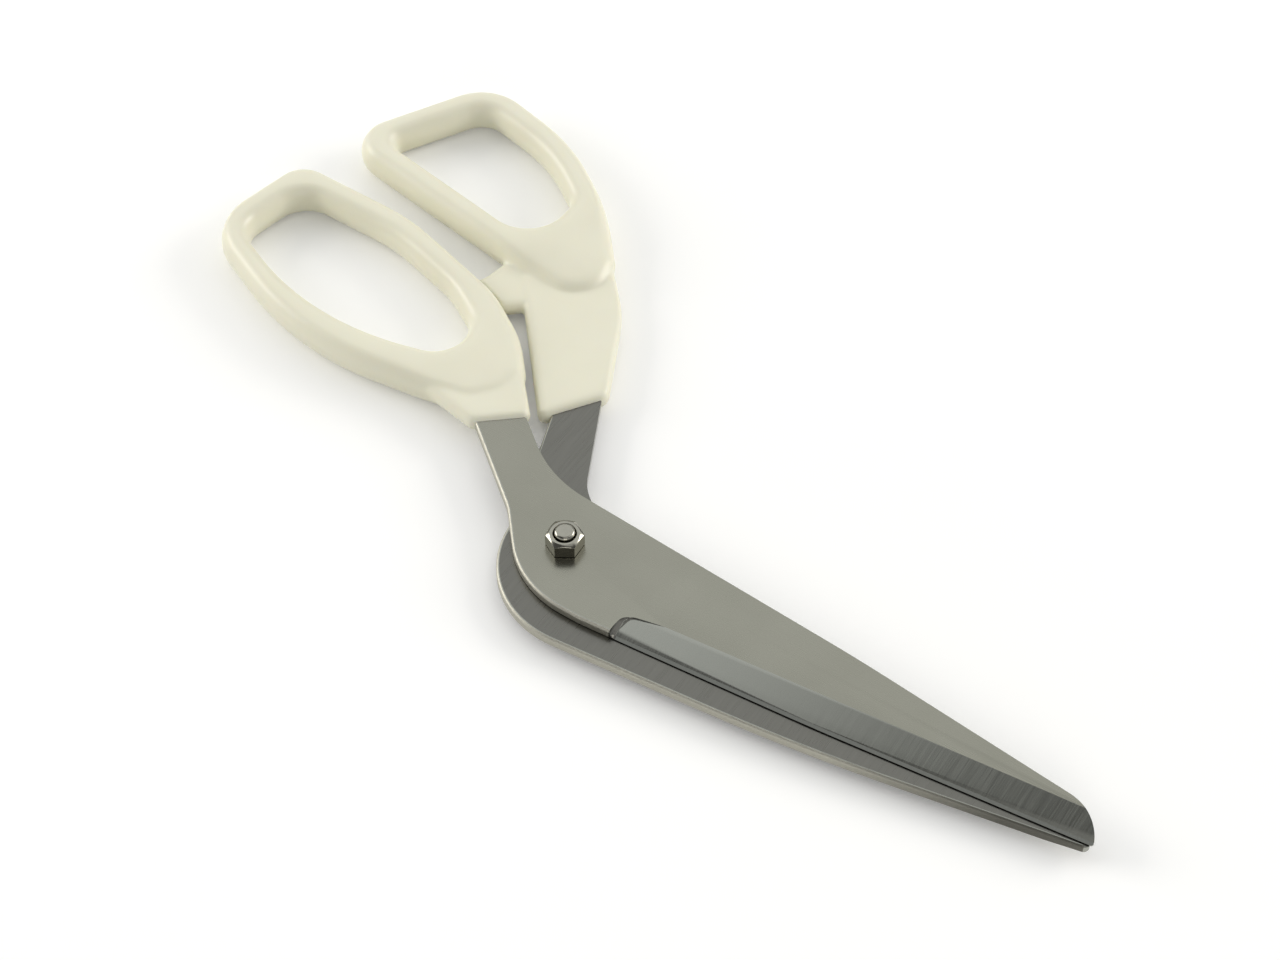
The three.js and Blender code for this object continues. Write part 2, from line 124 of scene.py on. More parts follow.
def mergeFlats(piece):
    pick(piece)
    bpy.ops.object.mode_set(mode="EDIT")
    bpy.ops.mesh.select_all(action="SELECT")
    bpy.ops.mesh.remove_doubles(threshold=drawing["weld"] * mm)
    bpy.ops.mesh.dissolve_limited(angle_limit=math.radians(drawing["flatAngle"]))
    bpy.ops.object.mode_set(mode="OBJECT")


def flatSlab(name, outlines, bottom, thickness, rimWidth=0.0, rimHeight=0.0, rimSteps=drawing["rimSteps"]):
    # circles drawn onto the outlines become one flat curve, whose rims are rounded inwards
    rings = []
    for points in outlines:
        bpy.ops.object.select_all(action="DESELECT")
        bpy.ops.mesh.primitive_circle_add(vertices=len(points), radius=1, fill_type="NOTHING")
        ring = bpy.context.object
        for vertex, point in zip(ring.data.vertices, points):
            vertex.co = (point[0] * mm, point[1] * mm, 0)
        rings.append(ring)
    pick(*rings)
    if len(rings) > 1:
        bpy.ops.object.join()
    bpy.ops.object.convert(target="CURVE")
    slab = bpy.context.object
    slab.name = name
    squeeze = rimWidth / rimHeight if rimHeight else 1
    slab.data.dimensions = "2D"
    slab.data.fill_mode = "BOTH"
    slab.data.extrude = (thickness / 2 - rimHeight) * squeeze * mm
    slab.data.bevel_depth = rimWidth * mm
    slab.data.bevel_resolution = rimSteps
    slab.data.offset = -rimWidth * mm
    bpy.ops.object.convert(target="MESH")
    slab.data.transform(Matrix.Diagonal((1, 1, 1 / squeeze, 1)))
    slab.data.transform(Matrix.Translation((0, 0, (bottom + thickness / 2) * mm)))
    weldDoubles(slab)
    return slab


def combine(piece, other, operation):
    pick(piece)
    step = piece.modifiers.new("join or cut", "BOOLEAN")
    step.object = other
    step.operation = operation
    step.solver = "EXACT"
    bpy.ops.object.modifier_apply(modifier=step.name)
    bpy.data.objects.remove(other)
    return piece


def applied(piece, kind, **settings):
    pick(piece)
    step = piece.modifiers.new(kind.lower(), kind)
    for name, value in settings.items():
        setattr(step, name, value)
    bpy.ops.object.modifier_apply(modifier=step.name)
    return piece


def edgeSlopes(piece):
    slopes = {}
    for face in piece.data.polygons:
        for key in face.edge_keys:
            slopes.setdefault(tuple(sorted(key)), []).append(face.normal.z)
    return slopes


def roundEdges(piece, wanted, rounding, segments):
    # rounds the edges for which wanted says so, given their two ends in mm and the slopes of their faces
    slopes = edgeSlopes(piece)
    pick(piece)
    bpy.ops.object.mode_set(mode="EDIT")
    bpy.ops.mesh.select_mode(type="EDGE")
    bpy.ops.mesh.select_all(action="DESELECT")
    bpy.ops.object.mode_set(mode="OBJECT")
    for edge in piece.data.edges:
        ends = [piece.data.vertices[i].co / mm for i in edge.vertices]
        edge.select = wanted(ends, slopes[tuple(sorted(edge.vertices))])
    bpy.ops.object.mode_set(mode="EDIT")
    bpy.ops.mesh.bevel(offset=rounding * mm, segments=segments, affect="EDGES")
    bpy.ops.object.mode_set(mode="OBJECT")
    return piece


def breakEdges(piece, width):
    sharp = math.radians(drawing["sharpAngle"])
    applied(piece, "BEVEL", width=width * mm, segments=2, limit_method="ANGLE", angle_limit=sharp)


def spacedPoints(points, gap=1.0):
    spaced = []
    for i, point in enumerate(points):
        before = points[i - 1]
        steps = max(1, round((point - before).length / gap))
        spaced += [before.lerp(point, k / steps) for k in range(steps)]
    return spaced


def nearestFinder(points):
    tree = KDTree(len(points))
    for i, point in enumerate(points):
        tree.insert((point.x * mm, point.y * mm, 0), i)
    tree.balance()
    return lambda place: tree.find((place.x, place.y, 0))[2] / mm


def eased(value):
    value = min(max(value, 0), 1)
    return value * value * (3 - 2 * value)


# Materials: sizes and depths of the patterns are in mm, and a relief is its strength and its depth

noiseLow, noiseHigh = 0.3, 0.7  # between which the values of a noise mostly lie


def linearColor(hexColor):
    channels = [int(hexColor[i:i + 2], 16) / 255 for i in (0, 2, 4)]
    return (*[c / 12.92 if c <= 0.04045 else ((c + 0.055) / 1.055) ** 2.4 for c in channels], 1)


def addNode(tree, kind, inputs=None, **settings):
    node = tree.nodes.new(kind)
    for name, value in settings.items():
        setattr(node, name, value)
    for socket, value in (inputs or {}).items():
        if isinstance(value, bpy.types.NodeSocket):
            tree.links.new(value, node.inputs[socket])
        else:
            node.inputs[socket].default_value = value
    return node


def newMaterial(name):
    material = bpy.data.materials.new(name)
    material.use_nodes = True
    material.node_tree.nodes.clear()
    place = addNode(material.node_tree, "ShaderNodeTexCoord").outputs["Object"]
    return material, material.node_tree, place


# injection moulded polypropylene: an even warm ivory with a soft sheen and a very fine orange peel
ivory = {
    "deep": "e3e0ca",
    "pale": "ecead6",
    "cloudSize": 28,
    "peelSize": 1.6,
    "peelRelief": (0.12, 0.05),
    "grainSize": 0.25,
    "grainRelief": (0.15, 0.01),
    "rough": (0.3, 0.38),
    "scatterDepth": 2.0,
    "scatterColor": (1.0, 0.75, 0.4),
}


def makeMouldedPolypropylene():
    material, tree, place = newMaterial("moulded_polypropylene_ivory")
    cloud, peel, grain = [
        addNode(tree, "ShaderNodeTexNoise", {"Vector": place, "Scale": 1 / (size * mm), "Detail": detail})
        for size, detail in ((ivory["cloudSize"], 3.0), (ivory["peelSize"], 2.0), (ivory["grainSize"], 2.0))
    ]
    tone = addNode(tree, "ShaderNodeMix", {
        "Factor": cloud.outputs["Fac"], "A": linearColor(ivory["deep"]), "B": linearColor(ivory["pale"]),
    }, data_type="RGBA")
    rough = addNode(tree, "ShaderNodeMapRange", {
        "Value": cloud.outputs["Fac"], "From Min": noiseLow, "From Max": noiseHigh,
        "To Min": ivory["rough"][0], "To Max": ivory["rough"][1],
    })
    bumpA = addNode(tree, "ShaderNodeBump", {
        "Height": peel.outputs["Fac"],
        "Strength": ivory["peelRelief"][0], "Distance": ivory["peelRelief"][1] * mm,
    })
    bumpB = addNode(tree, "ShaderNodeBump", {
        "Height": grain.outputs["Fac"], "Normal": bumpA.outputs["Normal"],
        "Strength": ivory["grainRelief"][0], "Distance": ivory["grainRelief"][1] * mm,
    })
    shader = addNode(tree, "ShaderNodeBsdfPrincipled", {
        "Base Color": tone.outputs["Result"], "Roughness": rough.outputs["Result"], "IOR": 1.49,
        "Subsurface Weight": 0.15, "Subsurface Scale": ivory["scatterDepth"] * mm,
        "Subsurface Radius": ivory["scatterColor"], "Normal": bumpB.outputs["Normal"],
    })
    addNode(tree, "ShaderNodeOutputMaterial", {"Surface": shader.outputs["BSDF"]})
    return material


def finishMetal(tree, look, tonePattern, roughPattern, reliefPattern, shadeBy=None):
    # two tones, a range of roughness and a fine relief, each led by a pattern; shadeBy darkens the tones
    color = addNode(tree, "ShaderNodeMix", {
        "Factor": tonePattern, "A": linearColor(look["deep"]), "B": linearColor(look["pale"]),
    }, data_type="RGBA")
    if shadeBy is not None:
        color = addNode(tree, "ShaderNodeMix", {
            "Factor": 1.0, "A": color.outputs["Result"], "B": shadeBy,
        }, data_type="RGBA", blend_type="MULTIPLY")
    rough = addNode(tree, "ShaderNodeMapRange", {
        "Value": roughPattern, "From Min": noiseLow, "From Max": noiseHigh,
        "To Min": look["rough"][0], "To Max": look["rough"][1],
    })
    bump = addNode(tree, "ShaderNodeBump", {
        "Height": reliefPattern, "Strength": look["relief"][0], "Distance": look["relief"][1] * mm,
    })
    shader = addNode(tree, "ShaderNodeBsdfPrincipled", {
        "Base Color": color.outputs["Result"], "Metallic": 1.0, "Roughness": rough.outputs["Result"],
        "Normal": bump.outputs["Normal"],
    })
    addNode(tree, "ShaderNodeOutputMaterial", {"Surface": shader.outputs["BSDF"]})


# stainless sheet, finely polished along its length: a satin grey with faint lines and clouds;
# here and on the ground steel the lines are drawn wider than real, so that they show
satin = {
    "deep": "919084", "pale": "9e9d91", "lineSizes": (14, 0.2, 0.2), "cloudSize": 22,
    "rough": (0.24, 0.28), "relief": (0.04, 0.003),
}


def makeSatinStainless():
    material, tree, place = newMaterial("satin_stainless_sheet")
    stretched = addNode(tree, "ShaderNodeMapping", {
        "Vector": place, "Scale": [1 / (size * mm) for size in satin["lineSizes"]],
    })
    lines = addNode(tree, "ShaderNodeTexNoise", {
        "Vector": stretched.outputs["Vector"], "Scale": 1.0, "Detail": 3.0,
    }).outputs["Fac"]
    cloud = addNode(tree, "ShaderNodeTexNoise", {
        "Vector": place, "Scale": 1 / (satin["cloudSize"] * mm), "Detail": 4.0,
    }).outputs["Fac"]
    finishMetal(tree, satin, cloud, lines, lines)
    return material


# stainless ground on a wheel: fine lines straight across, brighter on the bevel than on the rear sheet
ground = {
    "bevel": {
        "deep": "999a92", "pale": "a6a79f", "lineSizes": (0.3, 14, 14), "rough": (0.14, 0.2),
        "relief": (0.15, 0.005),
    },
    "rear": {
        "deep": "6c6b65", "pale": "7f7e78", "lineSizes": (0.6, 14, 14), "rough": (0.26, 0.33),
        "relief": (0.08, 0.005),
    },
}


def makeGroundStainless(name, look):
    material, tree, place = newMaterial(name)
    stretched = addNode(tree, "ShaderNodeMapping", {
        "Vector": place, "Scale": [1 / (size * mm) for size in look["lineSizes"]],
    })
    lines = addNode(tree, "ShaderNodeTexNoise", {
        "Vector": stretched.outputs["Vector"], "Scale": 1.0, "Detail": 4.0,
    }).outputs["Fac"]
    finishMetal(tree, look, lines, lines, lines)
    return material


# the sides of the plates: punched, then tumbled round, so they are rougher than the flats; their paler tone
# is a painted reflection of the pale floor, and towards the blunt end they darken
tumbled = {
    "deep": "aeaca0", "pale": "bfbdb1", "grainSize": 0.7, "rough": (0.48, 0.6), "relief": (0.2, 0.02),
    "paleTo": 100, "darkFrom": 150, "dark": 0.3,
}


def makeTumbledSidePaintedReflection():
    material, tree, place = newMaterial("tumbled_side_painted_reflection")
    grain = addNode(tree, "ShaderNodeTexNoise", {
        "Vector": place, "Scale": 1 / (tumbled["grainSize"] * mm), "Detail": 3.0,
    }).outputs["Fac"]
    along = addNode(tree, "ShaderNodeSeparateXYZ", {"Vector": place})
    fade = addNode(tree, "ShaderNodeMapRange", {
        "Value": along.outputs["X"],
        "From Min": tumbled["paleTo"] * mm, "From Max": tumbled["darkFrom"] * mm,
        "To Min": 1.0, "To Max": tumbled["dark"],
    })
    finishMetal(tree, tumbled, grain, grain, grain, fade.outputs["Result"])
    return material


# nickel plated steel: bright and mirror-like, with the rings of the turning tool drawn coarser than real
nickel = {
    "deep": "97958a", "pale": "aba99e", "ringWidth": 0.3, "cloudSize": 2.5,
    "rough": (0.1, 0.2), "relief": (0.08, 0.01),
}


def makePlatedSteel():
    material, tree, place = newMaterial("nickel_plated_steel")
    # a wave of scale 0.3 has its rings about one unit apart
    rings = addNode(tree, "ShaderNodeTexWave", {
        "Vector": place, "Scale": 0.3 / (nickel["ringWidth"] * mm), "Distortion": 1.5, "Detail": 2.0,
    }, wave_type="RINGS", rings_direction="Z").outputs["Fac"]
    cloud = addNode(tree, "ShaderNodeTexNoise", {
        "Vector": place, "Scale": 1 / (nickel["cloudSize"] * mm), "Detail": 3.0,
    }).outputs["Fac"]
    finishMetal(tree, nickel, cloud, cloud, rings)
    return material


mouldedPolypropylene = makeMouldedPolypropylene()
satinStainless = makeSatinStainless()
groundStainless = makeGroundStainless("ground_stainless_bevel", ground["bevel"])
crossGroundSheetAndPaintedShade = makeGroundStainless("cross_ground_sheet_and_painted_shade", ground["rear"])
tumbledSidePaintedReflection = makeTumbledSidePaintedReflection()
platedSteel = makePlatedSteel()
print("materials made")

# Blades: corners are (x, y, radius), and softLines are (y at x = 0, slope)

plateThickness = 2.8
pegHole = {"diameter": 5, "steps": 32}
boltClearance = 6.2
squareWidth = 6.6

frontBlade = {
    "outline": [
        (175.30, -2.90, 0.80), (171.10, 6.20, 17.50), (91.16, 12.80, 700.00), (-18.00, 18.00, 40.00),
        (-36.69, 32.37, 0.00), (-38.80, 32.52, 1.50), (-51.60, 47.24, 1.50), (-60.95, 39.10, 1.50),
        (-48.16, 24.38, 1.50), (-48.31, 22.27, 0.00), (-22.00, 2.00, 20.00), (-3.20, -19.40, 33.00),
        (18.00, -19.40, 33.00), (27.90, -18.52, 0.00), (91.16, -12.70, 700.00),
    ],
    "pegs": [(-47.32, 32.87), (-52.95, 39.34)],
    "bottom": 6.2,
    "edge": [(28.0, -18.48), (91.16, -12.70), (175.30, -2.90)],  # from the heel to the blunt end
    "under": False,  # the bevel is on the upper face
    # the side that is tumbled round: in front of the lines, and its look ends at sideEnd
    "softLines": [(-10, -1), (-12, 0.07)],
    "softTop": 22.5,
    "softEnd": 160,
    "sideEnd": 28.0,
}

rearBlade = {
    "outline": [
        (174.50, -4.00, 1.60), (172.90, 1.50, 0.80), (-5.77, 17.30, 18.00), (-23.68, 52.69, 0.00),
        (-25.79, 52.84, 1.50), (-45.80, 75.86, 1.50), (-52.62, 64.42, 1.50), (-32.61, 41.40, 1.50),
        (-32.76, 39.28, 0.00), (-20.00, 3.00, 20.00), (-13.20, -31.26, 31.00), (91.16, -20.10, 700.00),
    ],
    "pegs": [(-35.20, 54.03), (-44.01, 64.15)],
    "bottom": 3.1,
    "edge": [(28.0, -14.32), (101.25, -7.91), (174.50, -1.50)],  # turned over, so y runs the other way
    "under": True,
    "softLines": [(-20.8, -2.37), (-2, -0.01)],
    "softTop": 39.5,
    "softEnd": 173,
    "sideEnd": 173.0,
}

grinding = {
    "bevelWidth": 8.8,
    "edgeThickness": 1.1,    # of the plate, where the bevel would end
    "wheelRim": (1.4, 1.9),
    "wheelHeight": 24,
    "wheelDepth": 36,        # from the edge into the plate
    "wheelLead": 20,         # in front of the edge
    "wheelCorner": 2,
    "wheelStart": [(2.2, 8.3, 4), (0.1, 1.5, 5), (0.1, -20, 2)],  # the round end of the bevel at the heel
    "wallLength": 7,         # of that end, which takes the darker steel of the rear sheet as painted shade
    "wallTurn": 0.12,        # how much its faces turn towards the blunt end, at least
    "stones": [(0.931, 14), (0.830, 17), (0.22, 50)],  # height above the foot of the plate and angle
    "stoneRim": (2.0, 2.0),
    "stoneCorners": (3, 4),
    "stoneHeight": 10,
    "stoneHalfWidth": 9,
    "stoneOverlap": 12,      # where a stone sets in again after the bend of the edge
    "runOut": 14,            # past the end of the edge
    "sideRounding": 0.9,
    "sideSteps": 6,
    "boltSpace": 8,          # round the axis, where no edge is rounded
    "edgeBreak": 0.1,
}

# how level a face lies, from 0 for upright to 1 for flat
level = {"flattest": 0.9999, "flat": 0.999, "sloping": 0.995, "bevel": (0.97, 0.99), "upright": 0.1}


def onSoftSide(values, point):
    start = max(y + slope * point.x for y, slope in values["softLines"])
    return point.y < min(start, values["softTop"]) and point.x < values["softEnd"]


def roundSide(blade, values):
    # the upper rim of the side that is tumbled round
    top = values["bottom"] + plateThickness

    def wanted(ends, slopes):
        isRim = max(slopes) > level["bevel"][1] and min(slopes) < level["upright"]
        return isRim and all(
            abs(p.z - top) < 0.01 and p.xy.length > grinding["boltSpace"] and onSoftSide(values, p)
            for p in ends
        )

    roundEdges(blade, wanted, grinding["sideRounding"], grinding["sideSteps"])


def lineMatrix(start, end, height, slope):
    direction = math.atan2(end[1] - start[1], end[0] - start[0])
    place = Matrix.Translation((start[0] * mm, start[1] * mm, height * mm))
    return place @ Matrix.Rotation(direction, 4, "Z") @ Matrix.Rotation(slope, 4, "X")


def grind(blade, values):
    # one wide wheel cuts the bevel, and three narrow stones roll its edge over
    heel, middle, end = values["edge"]
    foot = values["bottom"]
    turnOver = Matrix.Identity(4)
    if values["under"]:
        lift = Matrix.Translation((0, 0, (foot * 2 + plateThickness) * mm))
        turnOver = lift @ Matrix.Rotation(math.pi, 4, "X")
    length = math.dist(heel, end) + grinding["runOut"]
    corner = grinding["wheelCorner"]
    outer, inner = -grinding["wheelLead"], grinding["wheelDepth"]
    wheel = flatSlab("wheel", [roundedOutline([
        (length, outer, corner), (length, inner, corner), *grinding["wheelStart"],
    ], drawing["fineChord"])], 0, grinding["wheelHeight"], *grinding["wheelRim"])
    slope = math.atan((plateThickness - grinding["edgeThickness"]) / grinding["bevelWidth"])
    wheel.data.transform(turnOver @ lineMatrix(heel, end, foot + grinding["edgeThickness"], slope))
    combine(blade, wheel, "DIFFERENCE")
    wide = grinding["stoneHalfWidth"]
    corner, lastCorner = grinding["stoneCorners"]
    for height, degrees in grinding["stones"]:
        for start, stop in ((heel, middle), (middle, end)):
            near = 0.0 if start is heel else -grinding["stoneOverlap"]
            far = math.dist(start, stop) + grinding["runOut"]
            stone = flatSlab("stone", [roundedOutline([
                (near, -wide, corner), (far, -wide, corner), (far, wide, corner), (near, wide, lastCorner),
            ], drawing["fineChord"])], 0, grinding["stoneHeight"], *grinding["stoneRim"])
            stone.data.transform(turnOver @ lineMatrix(start, stop, foot + height, math.radians(degrees)))
            combine(blade, stone, "DIFFERENCE")


def smoothBlade(blade):
    bpy.ops.object.shade_smooth_by_angle(angle=math.radians(drawing["sharpAngle"]))
    slopes = edgeSlopes(blade)
    for edge in blade.data.edges:
        # the line between a flat and its bevel stays crisp
        tilts = sorted(abs(tilt) for tilt in slopes[tuple(sorted(edge.vertices))])
        if tilts[-1] > level["flattest"] and level["bevel"][0] < tilts[0] < level["bevel"][1]:
            edge.use_edge_sharp = True
    applied(blade, "WEIGHTED_NORMAL", keep_sharp=True, weight=100)


def finishBlade(blade, values):
    flatSteel = crossGroundSheetAndPaintedShade if values["under"] else satinStainless
    flat, bevel, side, wall = range(4)
    blade.data.materials.clear()
    for steel in (flatSteel, groundStainless, tumbledSidePaintedReflection, crossGroundSheetAndPaintedShade):
        blade.data.materials.append(steel)
    for face in blade.data.polygons:
        place, tilt = face.center / mm, abs(face.normal.z)
        fromHeel = place.x - values["edge"][0][0]
        facesTip = face.normal.x > grinding["wallTurn"]
        if tilt > level["flat"]:
            face.material_index = flat
        # the round end of the bevel, where it turns towards the blunt end, takes the darker rear steel as
        # painted shade
        elif tilt < level["sloping"] and facesTip and -0.5 < fromHeel < grinding["wallLength"]:
            face.material_index = wall
        # the tumbled side: rougher, and paler as a painted reflection of the floor
        elif tilt < level["bevel"][0] and onSoftSide(values, place) and place.x < values["sideEnd"]:
            face.material_index = side
        else:
            face.material_index = bevel


def makeBlade(name, values, bore):
    outlines = [roundedOutline(values["outline"], drawing["fineChord"]), bore]
    outlines += [ringPoints(x, y, pegHole["diameter"], pegHole["steps"]) for x, y in values["pegs"]]
    blade = flatSlab(name, outlines, values["bottom"], plateThickness)
    mergeFlats(blade)
    roundSide(blade, values)
    grind(blade, values)
    mergeFlats(blade)
    breakEdges(blade, grinding["edgeBreak"])
    smoothBlade(blade)
    finishBlade(blade, values)
    return blade


frontPiece = makeBlade("front_blade_steel", frontBlade, ringPoints(0, 0, boltClearance))
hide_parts("front_blade")
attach(frontPiece, "front_half")
half = squareWidth / 2
square = [Vector(corner) for corner in ((half, -half), (half, half), (-half, half), (-half, -half))]
rearPiece = makeBlade("rear_blade_steel", rearBlade, square)
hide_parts("rear_blade")
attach(rearPiece, "rear_half")
print("blades made:", len(frontPiece.data.polygons), len(rearPiece.data.polygons))

# Handles

handle = {
    "thickness": 12.1,
    "barWidth": 9.9,
    "rimWidth": 4.3,
    "rimHeight": 5.95,
    "rimSteps": 10,
    "stemRimSteps": 6,
    "crest": 4.5,            # from the hole to the crest of a bar
    "shoulderWidth": 10,     # over which the shoulder starts to fall away
    "voxel": 0.6,
    "softRounds": 10,
    "smoothAngle": 40,
    "pocketGap": 0.05,
    "pocketChord": 1.5,
    "pegDiameter": 4.4,
    "pegSteps": 24,
}

fingerParts = {
    "hole": [
        (-154.88, 45.12, 8.32), (-114.13, 27.57, 91.52), (-69.98, 39.22, 9.98), (-72.02, 53.03, 9.98),
        (-87.47, 61.93, 35.78), (-114.98, 69.17, 62.40), (-149.96, 69.17, 9.98),
    ],
    "body": [
        (-166.20, 40.42, 18.22), (-114.91, 18.32, 101.42), (-65.00, 24.65, 30.00), (-54.00, 27.40, 9.00),
        (-47.40, 36.00, 9.00), (-46.30, 46.00, 5.00), (-57.07, 58.11, 39.60), (-73.87, 68.29, 39.60),
        (-113.70, 79.07, 72.30), (-158.04, 79.07, 9.90),
    ],
    "stem": [
        (-49.44, 21.28, 2.60), (-35.55, 33.36, 2.60), (-51.18, 50.11, 2.60), (-74.47, 38.57, 2.60),
        (-76.92, 26.00, 9.90),
    ],
    "stemBottom": 4.4,
    "stemThickness": 6.1,
    "stemRim": (2.6, 2.9),
    "fallTop": 1.3,
    "fallUnder": 2.6,
}

thumbParts = {
    "hole": [
        (-140.07, 101.60, 3.17), (-76.37, 91.82, 12.20), (-76.37, 112.53, 5.94), (-94.78, 125.32, 59.40),
        (-123.38, 131.42, 7.92),
    ],
    "body": [
        (-155.68, 93.98, 10.89), (-74.66, 81.54, 9.90), (-56.50, 80.40, 9.90), (-48.22, 88.60, 9.90),
        (-50.94, 100.14, 4.95), (-65.84, 117.27, 89.10), (-90.76, 134.59, 69.30), (-128.45, 142.63, 17.82),
    ],
    "stem": [
        (-35.02, 35.94, 2.40), (-22.37, 54.62, 4.00), (-37.95, 85.20, 49.00), (-51.55, 99.62, 2.40),
        (-73.66, 80.39, 2.40),
    ],
    "stemBottom": 1.3,
    "stemThickness": 6.4,
    "stemRim": (2.4, 2.4),
    "fallTop": 2.9,
    "fallUnder": 0.8,
    "nub": [
        (-74.5, 61.6, 3.2), (-58.0, 76.0, 3.2), (-66.0, 87.0, 3.2), (-80.4, 85.0, 3.2), (-82.6, 73.0, 6.0),
        (-91.0, 64.8, 3.2),
    ],
}

# the nub stops against the finger handle, so the outline of that handle is cut out of it
nub = {"bottom": 1.8, "thickness": 5.4, "rim": (3.0, 2.6), "clearance": 0.35, "cutFrom": -5, "cutHeight": 25}


def domeBody(body, parts):
    # the bars keep their height, and the wide shoulder falls away from the hole towards the stem
    toHole = nearestFinder(spacedPoints(roundedOutline(parts["hole"])))
    toSide = nearestFinder(spacedPoints(roundedOutline(parts["body"])))
    middle = handle["thickness"] / 2 * mm
    for vertex in body.data.vertices:
        fromHole, fromSide = toHole(vertex.co), toSide(vertex.co)
        spare = fromHole + fromSide - handle["barWidth"]
        if spare <= 0:
            continue
        fromCrest = max(fromHole - handle["crest"], 0) / (fromHole + fromSide - handle["crest"])
        fall = parts["fallTop"] if vertex.co.z > middle else parts["fallUnder"]
        fall *= eased(spare / handle["shoulderWidth"]) * fromCrest ** 2
        vertex.co.z = middle + (vertex.co.z - middle) * (1 - fall / (handle["thickness"] / 2))


def mouldHandle(name, parts, blade):
    body = flatSlab(
        name, [roundedOutline(parts["body"]), roundedOutline(parts["hole"], drawing["fineChord"])],
        0, handle["thickness"], handle["rimWidth"], handle["rimHeight"], handle["rimSteps"],
    )
    applied(body, "REMESH", mode="VOXEL", voxel_size=handle["voxel"] * mm, adaptivity=0.0)
    domeBody(body, parts)
    stem = flatSlab(
        "stem", [roundedOutline(parts["stem"])], parts["stemBottom"], parts["stemThickness"],
        *parts["stemRim"], handle["stemRimSteps"],
    )
    lumps = [body, stem]
    if "nub" in parts:
        block = flatSlab(
            "nub", [roundedOutline(parts["nub"])], nub["bottom"], nub["thickness"],
            *nub["rim"], handle["stemRimSteps"],
        )
        fingerSide = roundedOutline(grownCorners(fingerParts["body"], nub["clearance"]))
        clear = flatSlab("clear", [fingerSide], nub["cutFrom"], nub["cutHeight"])
        lumps.append(combine(block, clear, "DIFFERENCE"))
    pick(*lumps)
    bpy.ops.object.join()
    applied(body, "REMESH", mode="VOXEL", voxel_size=handle["voxel"] * mm, adaptivity=0.0)
    applied(body, "SMOOTH", factor=0.5, iterations=handle["softRounds"])
    # the pocket for the tang leaves the pegs standing
    gap = handle["pocketGap"]
    tang = roundedOutline(grownCorners(blade["outline"], gap), handle["pocketChord"])
    pegs = [ringPoints(x, y, handle["pegDiameter"], handle["pegSteps"]) for x, y in blade["pegs"]]
    pocket = flatSlab("pocket", [tang, *pegs], blade["bottom"] - gap, plateThickness + 2 * gap)
    combine(body, pocket, "DIFFERENCE")
    pick(body)
    bpy.ops.object.shade_smooth_by_angle(angle=math.radians(handle["smoothAngle"]))
    body.data.materials.clear()
    body.data.materials.append(mouldedPolypropylene)
    return body


fingerPiece = mouldHandle("finger_handle_moulding", fingerParts, frontBlade)
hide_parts("finger_handle")
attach(fingerPiece, "front_half")
thumbPiece = mouldHandle("thumb_handle_moulding", thumbParts, rearBlade)
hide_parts("thumb_handle")
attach(thumbPiece, "rear_half")
print("handles made:", len(fingerPiece.data.polygons), len(thumbPiece.data.polygons))

# Pivot

bolt = {
    "diameter": 6,
    "top": 15.4,
    "endRounding": 0.9,
    "headDiameter": 14,
    "headHeight": 2.2,
    "headRounding": 1.2,
    "headOverlap": 0.5,   # of the shank into the head
    "neckWidth": 6,
    "neckTop": 5.6,
}
nut = {
    "width": 10,
    "bottom": 9.3,
    "height": 5,
    "turn": 34,
    "bore": 6.6,
    "countersink": 7.2,
    "sinkDepth": 0.3,
    "topDiameter": 8.7,
    "chamferAngle": 34,
    "edgeBreak": 0.12,
}
washer = {"diameter": 13, "bore": 9.085, "bottom": 2.3, "thickness": 0.4, "bow": 0.3, "edgeBreak": 0.06}
pivotSmoothAngle = 26
cutPast = 1  # how far a cutter stands out of what it cuts


def turnedDisc(diameter, bottom, top, topDiameter=None, steps=drawing["discSteps"]):
    bpy.ops.object.select_all(action="DESELECT")
    bpy.ops.mesh.primitive_cone_add(
        vertices=steps, radius1=diameter / 2 * mm, radius2=(topDiameter or diameter) / 2 * mm,
        depth=(top - bottom) * mm, location=(0, 0, (top + bottom) / 2 * mm),
    )
    bpy.ops.object.transform_apply(location=True, rotation=True, scale=True)
    return bpy.context.object


def roundRim(piece, height, rounding):
    def atHeight(ends, slopes):
        return all(abs(p.z - height) < 0.001 for p in ends)

    return roundEdges(piece, atHeight, rounding, drawing["rimSteps"])


def finishPivotPiece(piece, name, node, edgeBreak):
    piece.name = name
    if edgeBreak:
        breakEdges(piece, edgeBreak)
    pick(piece)
    bpy.ops.object.shade_smooth_by_angle(angle=math.radians(pivotSmoothAngle))
    applied(piece, "WEIGHTED_NORMAL", keep_sharp=True, weight=100)
    piece.data.materials.clear()
    piece.data.materials.append(platedSteel)
    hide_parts(node)
    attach(piece, "rear_half")


def makeBolt():
    shank = turnedDisc(bolt["diameter"], bolt["headHeight"] - bolt["headOverlap"], bolt["top"])
    roundRim(shank, bolt["top"], bolt["endRounding"])
    head = turnedDisc(bolt["headDiameter"], 0, bolt["headHeight"])
    roundRim(head, 0, bolt["headRounding"])
    combine(shank, head, "UNION")
    bpy.ops.object.select_all(action="DESELECT")
    bpy.ops.mesh.primitive_cube_add(size=1)
    neck = bpy.context.object
    low, high = bolt["headHeight"] / 2, bolt["neckTop"]
    size = Matrix.Diagonal((bolt["neckWidth"] * mm, bolt["neckWidth"] * mm, (high - low) * mm, 1))
    neck.data.transform(Matrix.Translation((0, 0, (low + high) / 2 * mm)) @ size)
    return combine(shank, neck, "UNION")


